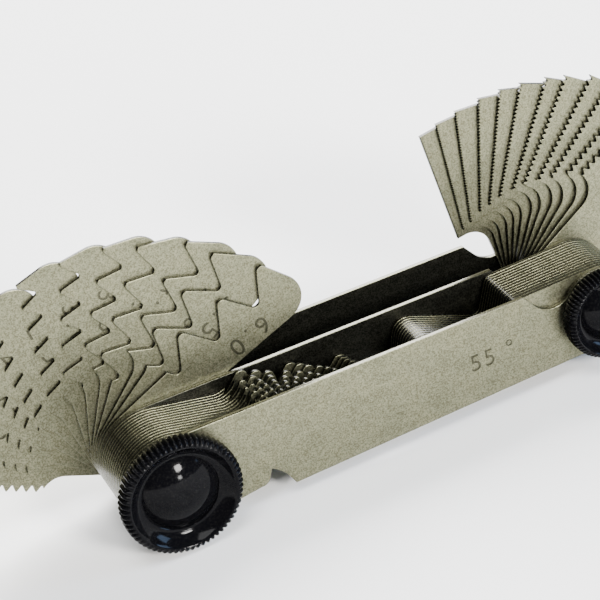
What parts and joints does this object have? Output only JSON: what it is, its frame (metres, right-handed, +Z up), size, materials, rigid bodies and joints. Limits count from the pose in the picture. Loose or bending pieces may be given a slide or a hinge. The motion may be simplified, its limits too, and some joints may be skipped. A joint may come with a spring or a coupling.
{
  "type": "screw pitch gauge",
  "caption": "Folding screw thread pitch gauge: toothed steel blades fan out from both ends of a tapered flat case and are clamped by black knurled thumb nuts.",
  "frame": {"origin": "on the coarse pivot's axis, in the middle of its rear head's outer face", "axes": "+X along the case from the coarse blades' pivot to the fine blades' pivot, +Y from the front plate to the back plate along the pivot axes, +Z up across the case"},
  "size_m": [0.1024, 0.0206, 0.034],
  "materials": {
    "steel": "satin, fine ground grain, slightly yellow",
    "stud_steel": "satin turned",
    "black_gloss": "glossy black"
  },
  "bodies": {
    "case": {"front_plate": "steel", "middle_plate": "steel", "back_plate": "steel", "coarse_pivot_stud": "stud_steel", "fine_pivot_stud": "stud_steel"},
    "metric_blade_6_mm": {"metric_blade_6_mm": "steel"},
    "metric_blade_5_5_mm": {"metric_blade_5_5_mm": "steel"},
    "metric_blade_5_mm": {"metric_blade_5_mm": "steel"},
    "metric_blade_4_5_mm": {"metric_blade_4_5_mm": "steel"},
    "metric_blade_4_mm": {"metric_blade_4_mm": "steel"},
    "metric_blade_3_5_mm": {"metric_blade_3_5_mm": "steel"},
    "metric_blade_3_mm": {"metric_blade_3_mm": "steel"},
    "metric_blade_2_5_mm": {"metric_blade_2_5_mm": "steel"},
    "metric_blade_2_mm": {"metric_blade_2_mm": "steel"},
    "metric_blade_1_75_mm": {"metric_blade_1_75_mm": "steel"},
    "metric_blade_1_5_mm": {"metric_blade_1_5_mm": "steel"},
    "metric_blade_1_25_mm": {"metric_blade_1_25_mm": "steel"},
    "metric_blade_1_mm": {"metric_blade_1_mm": "steel"},
    "metric_blade_0_9_mm": {"metric_blade_0_9_mm": "steel"},
    "metric_blade_0_8_mm": {"metric_blade_0_8_mm": "steel"},
    "metric_blade_0_75_mm": {"metric_blade_0_75_mm": "steel"},
    "metric_blade_0_7_mm": {"metric_blade_0_7_mm": "steel"},
    "metric_blade_0_6_mm": {"metric_blade_0_6_mm": "steel"},
    "metric_blade_0_5_mm": {"metric_blade_0_5_mm": "steel"},
    "metric_blade_0_45_mm": {"metric_blade_0_45_mm": "steel"},
    "metric_blade_0_4_mm": {"metric_blade_0_4_mm": "steel"},
    "metric_blade_0_35_mm": {"metric_blade_0_35_mm": "steel"},
    "metric_blade_0_3_mm": {"metric_blade_0_3_mm": "steel"},
    "metric_blade_0_25_mm": {"metric_blade_0_25_mm": "steel"},
    "inch_blade_18_tpi": {"inch_blade_18_tpi": "steel"},
    "inch_blade_16_tpi": {"inch_blade_16_tpi": "steel"},
    "inch_blade_14_tpi": {"inch_blade_14_tpi": "steel"},
    "inch_blade_13_tpi": {"inch_blade_13_tpi": "steel"},
    "inch_blade_12_tpi": {"inch_blade_12_tpi": "steel"},
    "inch_blade_11_tpi": {"inch_blade_11_tpi": "steel"},
    "inch_blade_10_tpi": {"inch_blade_10_tpi": "steel"},
    "inch_blade_9_tpi": {"inch_blade_9_tpi": "steel"},
    "inch_blade_8_tpi": {"inch_blade_8_tpi": "steel"},
    "inch_blade_7_tpi": {"inch_blade_7_tpi": "steel"},
    "inch_blade_6_tpi": {"inch_blade_6_tpi": "steel"},
    "inch_blade_5_tpi": {"inch_blade_5_tpi": "steel"},
    "inch_blade_4_5_tpi": {"inch_blade_4_5_tpi": "steel"},
    "inch_blade_4_tpi": {"inch_blade_4_tpi": "steel"},
    "inch_blade_62_tpi": {"inch_blade_62_tpi": "steel"},
    "inch_blade_60_tpi": {"inch_blade_60_tpi": "steel"},
    "inch_blade_48_tpi": {"inch_blade_48_tpi": "steel"},
    "inch_blade_40_tpi": {"inch_blade_40_tpi": "steel"},
    "inch_blade_36_tpi": {"inch_blade_36_tpi": "steel"},
    "inch_blade_32_tpi": {"inch_blade_32_tpi": "steel"},
    "inch_blade_30_tpi": {"inch_blade_30_tpi": "steel"},
    "inch_blade_28_tpi": {"inch_blade_28_tpi": "steel"},
    "inch_blade_26_tpi": {"inch_blade_26_tpi": "steel"},
    "inch_blade_25_tpi": {"inch_blade_25_tpi": "steel"},
    "inch_blade_24_tpi": {"inch_blade_24_tpi": "steel"},
    "inch_blade_22_tpi": {"inch_blade_22_tpi": "steel"},
    "inch_blade_20_tpi": {"inch_blade_20_tpi": "steel"},
    "inch_blade_19_tpi": {"inch_blade_19_tpi": "steel"},
    "coarse_thumb_nut": {"coarse_thumb_nut": "black_gloss"},
    "fine_thumb_nut": {"fine_thumb_nut": "black_gloss"}
  },
  "joints": [
    {"name": "metric_blade_6_mm_swing", "type": "hinge", "parent": "case", "child": "metric_blade_6_mm", "pos_m": [0, 0, 0], "axis": [0, -1, 0], "range_deg": [-38.2, 141.8]},
    {"name": "metric_blade_5_5_mm_swing", "type": "hinge", "parent": "case", "child": "metric_blade_5_5_mm", "pos_m": [0, 0, 0], "axis": [0, -1, 0], "range_deg": [-52.3, 127.7]},
    {"name": "metric_blade_5_mm_swing", "type": "hinge", "parent": "case", "child": "metric_blade_5_mm", "pos_m": [0, 0, 0], "axis": [0, -1, 0], "range_deg": [-59.6, 120.4]},
    {"name": "metric_blade_4_5_mm_swing", "type": "hinge", "parent": "case", "child": "metric_blade_4_5_mm", "pos_m": [0, 0, 0], "axis": [0, -1, 0], "range_deg": [-73, 107]},
    {"name": "metric_blade_4_mm_swing", "type": "hinge", "parent": "case", "child": "metric_blade_4_mm", "pos_m": [0, 0, 0], "axis": [0, -1, 0], "range_deg": [-81.3, 98.7]},
    {"name": "metric_blade_3_5_mm_swing", "type": "hinge", "parent": "case", "child": "metric_blade_3_5_mm", "pos_m": [0, 0, 0], "axis": [0, -1, 0], "range_deg": [-93, 87]},
    {"name": "metric_blade_3_mm_swing", "type": "hinge", "parent": "case", "child": "metric_blade_3_mm", "pos_m": [0, 0, 0], "axis": [0, -1, 0], "range_deg": [-105, 75]},
    {"name": "metric_blade_2_5_mm_swing", "type": "hinge", "parent": "case", "child": "metric_blade_2_5_mm", "pos_m": [0, 0, 0], "axis": [0, -1, 0], "range_deg": [-117.9, 62.1]},
    {"name": "metric_blade_2_mm_swing", "type": "hinge", "parent": "case", "child": "metric_blade_2_mm", "pos_m": [0, 0, 0], "axis": [0, -1, 0], "range_deg": [-129.5, 50.5]},
    {"name": "metric_blade_1_75_mm_swing", "type": "hinge", "parent": "case", "child": "metric_blade_1_75_mm", "pos_m": [0, 0, 0], "axis": [0, -1, 0], "range_deg": [-142.3, 37.7]},
    {"name": "metric_blade_1_5_mm_swing", "type": "hinge", "parent": "case", "child": "metric_blade_1_5_mm", "pos_m": [0, 0, 0], "axis": [0, -1, 0], "range_deg": [-157.2, 22.8]},
    {"name": "metric_blade_1_25_mm_swing", "type": "hinge", "parent": "case", "child": "metric_blade_1_25_mm", "pos_m": [0, 0, 0], "axis": [0, -1, 0], "range_deg": [-170.2, 9.8]},
    {"name": "metric_blade_1_mm_swing", "type": "hinge", "parent": "case", "child": "metric_blade_1_mm", "pos_m": [0.0563, 0, 0], "axis": [0, 1, 0], "range_deg": [-134.5, 45.5]},
    {"name": "metric_blade_0_9_mm_swing", "type": "hinge", "parent": "case", "child": "metric_blade_0_9_mm", "pos_m": [0.0563, 0, 0], "axis": [0, 1, 0], "range_deg": [-128.3, 51.7]},
    {"name": "metric_blade_0_8_mm_swing", "type": "hinge", "parent": "case", "child": "metric_blade_0_8_mm", "pos_m": [0.0563, 0, 0], "axis": [0, 1, 0], "range_deg": [-120.9, 59.1]},
    {"name": "metric_blade_0_75_mm_swing", "type": "hinge", "parent": "case", "child": "metric_blade_0_75_mm", "pos_m": [0.0563, 0, 0], "axis": [0, 1, 0], "range_deg": [-114.7, 65.3]},
    {"name": "metric_blade_0_7_mm_swing", "type": "hinge", "parent": "case", "child": "metric_blade_0_7_mm", "pos_m": [0.0563, 0, 0], "axis": [0, 1, 0], "range_deg": [-107.5, 72.5]},
    {"name": "metric_blade_0_6_mm_swing", "type": "hinge", "parent": "case", "child": "metric_blade_0_6_mm", "pos_m": [0.0563, 0, 0], "axis": [0, 1, 0], "range_deg": [-102.3, 77.7]},
    {"name": "metric_blade_0_5_mm_swing", "type": "hinge", "parent": "case", "child": "metric_blade_0_5_mm", "pos_m": [0.0563, 0, 0], "axis": [0, 1, 0], "range_deg": [-95.2, 84.8]},
    {"name": "metric_blade_0_45_mm_swing", "type": "hinge", "parent": "case", "child": "metric_blade_0_45_mm", "pos_m": [0.0563, 0, 0], "axis": [0, 1, 0], "range_deg": [-89.5, 90.5]},
    {"name": "metric_blade_0_4_mm_swing", "type": "hinge", "parent": "case", "child": "metric_blade_0_4_mm", "pos_m": [0.0563, 0, 0], "axis": [0, 1, 0], "range_deg": [-83.5, 96.5]},
    {"name": "metric_blade_0_35_mm_swing", "type": "hinge", "parent": "case", "child": "metric_blade_0_35_mm", "pos_m": [0.0563, 0, 0], "axis": [0, 1, 0], "range_deg": [-76.5, 103.5]},
    {"name": "metric_blade_0_3_mm_swing", "type": "hinge", "parent": "case", "child": "metric_blade_0_3_mm", "pos_m": [0.0563, 0, 0], "axis": [0, 1, 0], "range_deg": [-70.5, 109.5]},
    {"name": "metric_blade_0_25_mm_swing", "type": "hinge", "parent": "case", "child": "metric_blade_0_25_mm", "pos_m": [0.0563, 0, 0], "axis": [0, 1, 0], "range_deg": [-65.2, 114.8]},
    {"name": "inch_blade_18_tpi_swing", "type": "hinge", "parent": "case", "child": "inch_blade_18_tpi", "pos_m": [0, 0, 0], "axis": [0, -1, 0], "range_deg": [0, 180]},
    {"name": "inch_blade_16_tpi_swing", "type": "hinge", "parent": "case", "child": "inch_blade_16_tpi", "pos_m": [0, 0, 0], "axis": [0, -1, 0], "range_deg": [0, 180]},
    {"name": "inch_blade_14_tpi_swing", "type": "hinge", "parent": "case", "child": "inch_blade_14_tpi", "pos_m": [0, 0, 0], "axis": [0, -1, 0], "range_deg": [0, 180]},
    {"name": "inch_blade_13_tpi_swing", "type": "hinge", "parent": "case", "child": "inch_blade_13_tpi", "pos_m": [0, 0, 0], "axis": [0, -1, 0], "range_deg": [0, 180]},
    {"name": "inch_blade_12_tpi_swing", "type": "hinge", "parent": "case", "child": "inch_blade_12_tpi", "pos_m": [0, 0, 0], "axis": [0, -1, 0], "range_deg": [0, 180]},
    {"name": "inch_blade_11_tpi_swing", "type": "hinge", "parent": "case", "child": "inch_blade_11_tpi", "pos_m": [0, 0, 0], "axis": [0, -1, 0], "range_deg": [0, 180]},
    {"name": "inch_blade_10_tpi_swing", "type": "hinge", "parent": "case", "child": "inch_blade_10_tpi", "pos_m": [0, 0, 0], "axis": [0, -1, 0], "range_deg": [0, 180]},
    {"name": "inch_blade_9_tpi_swing", "type": "hinge", "parent": "case", "child": "inch_blade_9_tpi", "pos_m": [0, 0, 0], "axis": [0, -1, 0], "range_deg": [0, 180]},
    {"name": "inch_blade_8_tpi_swing", "type": "hinge", "parent": "case", "child": "inch_blade_8_tpi", "pos_m": [0, 0, 0], "axis": [0, -1, 0], "range_deg": [0, 180]},
    {"name": "inch_blade_7_tpi_swing", "type": "hinge", "parent": "case", "child": "inch_blade_7_tpi", "pos_m": [0, 0, 0], "axis": [0, -1, 0], "range_deg": [0, 180]},
    {"name": "inch_blade_6_tpi_swing", "type": "hinge", "parent": "case", "child": "inch_blade_6_tpi", "pos_m": [0, 0, 0], "axis": [0, -1, 0], "range_deg": [0, 180]},
    {"name": "inch_blade_5_tpi_swing", "type": "hinge", "parent": "case", "child": "inch_blade_5_tpi", "pos_m": [0, 0, 0], "axis": [0, -1, 0], "range_deg": [0, 180]},
    {"name": "inch_blade_4_5_tpi_swing", "type": "hinge", "parent": "case", "child": "inch_blade_4_5_tpi", "pos_m": [0, 0, 0], "axis": [0, -1, 0], "range_deg": [0, 180]},
    {"name": "inch_blade_4_tpi_swing", "type": "hinge", "parent": "case", "child": "inch_blade_4_tpi", "pos_m": [0, 0, 0], "axis": [0, -1, 0], "range_deg": [0, 180]},
    {"name": "inch_blade_62_tpi_swing", "type": "hinge", "parent": "case", "child": "inch_blade_62_tpi", "pos_m": [0.0563, 0, 0], "axis": [0, 1, 0], "range_deg": [0, 180]},
    {"name": "inch_blade_60_tpi_swing", "type": "hinge", "parent": "case", "child": "inch_blade_60_tpi", "pos_m": [0.0563, 0, 0], "axis": [0, 1, 0], "range_deg": [0, 180]},
    {"name": "inch_blade_48_tpi_swing", "type": "hinge", "parent": "case", "child": "inch_blade_48_tpi", "pos_m": [0.0563, 0, 0], "axis": [0, 1, 0], "range_deg": [0, 180]},
    {"name": "inch_blade_40_tpi_swing", "type": "hinge", "parent": "case", "child": "inch_blade_40_tpi", "pos_m": [0.0563, 0, 0], "axis": [0, 1, 0], "range_deg": [0, 180]},
    {"name": "inch_blade_36_tpi_swing", "type": "hinge", "parent": "case", "child": "inch_blade_36_tpi", "pos_m": [0.0563, 0, 0], "axis": [0, 1, 0], "range_deg": [0, 180]},
    {"name": "inch_blade_32_tpi_swing", "type": "hinge", "parent": "case", "child": "inch_blade_32_tpi", "pos_m": [0.0563, 0, 0], "axis": [0, 1, 0], "range_deg": [0, 180]},
    {"name": "inch_blade_30_tpi_swing", "type": "hinge", "parent": "case", "child": "inch_blade_30_tpi", "pos_m": [0.0563, 0, 0], "axis": [0, 1, 0], "range_deg": [0, 180]},
    {"name": "inch_blade_28_tpi_swing", "type": "hinge", "parent": "case", "child": "inch_blade_28_tpi", "pos_m": [0.0563, 0, 0], "axis": [0, 1, 0], "range_deg": [0, 180]},
    {"name": "inch_blade_26_tpi_swing", "type": "hinge", "parent": "case", "child": "inch_blade_26_tpi", "pos_m": [0.0563, 0, 0], "axis": [0, 1, 0], "range_deg": [0, 180]},
    {"name": "inch_blade_25_tpi_swing", "type": "hinge", "parent": "case", "child": "inch_blade_25_tpi", "pos_m": [0.0563, 0, 0], "axis": [0, 1, 0], "range_deg": [0, 180]},
    {"name": "inch_blade_24_tpi_swing", "type": "hinge", "parent": "case", "child": "inch_blade_24_tpi", "pos_m": [0.0563, 0, 0], "axis": [0, 1, 0], "range_deg": [0, 180]},
    {"name": "inch_blade_22_tpi_swing", "type": "hinge", "parent": "case", "child": "inch_blade_22_tpi", "pos_m": [0.0563, 0, 0], "axis": [0, 1, 0], "range_deg": [0, 180]},
    {"name": "inch_blade_20_tpi_swing", "type": "hinge", "parent": "case", "child": "inch_blade_20_tpi", "pos_m": [0.0563, 0, 0], "axis": [0, 1, 0], "range_deg": [0, 180]},
    {"name": "inch_blade_19_tpi_swing", "type": "hinge", "parent": "case", "child": "inch_blade_19_tpi", "pos_m": [0.0563, 0, 0], "axis": [0, 1, 0], "range_deg": [0, 180]},
    {"name": "coarse_thumb_nut_turn", "type": "hinge", "parent": "case", "child": "coarse_thumb_nut", "pos_m": [0, 0, 0], "axis": [0, 1, 0], "continuous": true},
    {"name": "fine_thumb_nut_turn", "type": "hinge", "parent": "case", "child": "fine_thumb_nut", "pos_m": [0.0563, 0, 0], "axis": [0, 1, 0], "continuous": true}
  ]
}
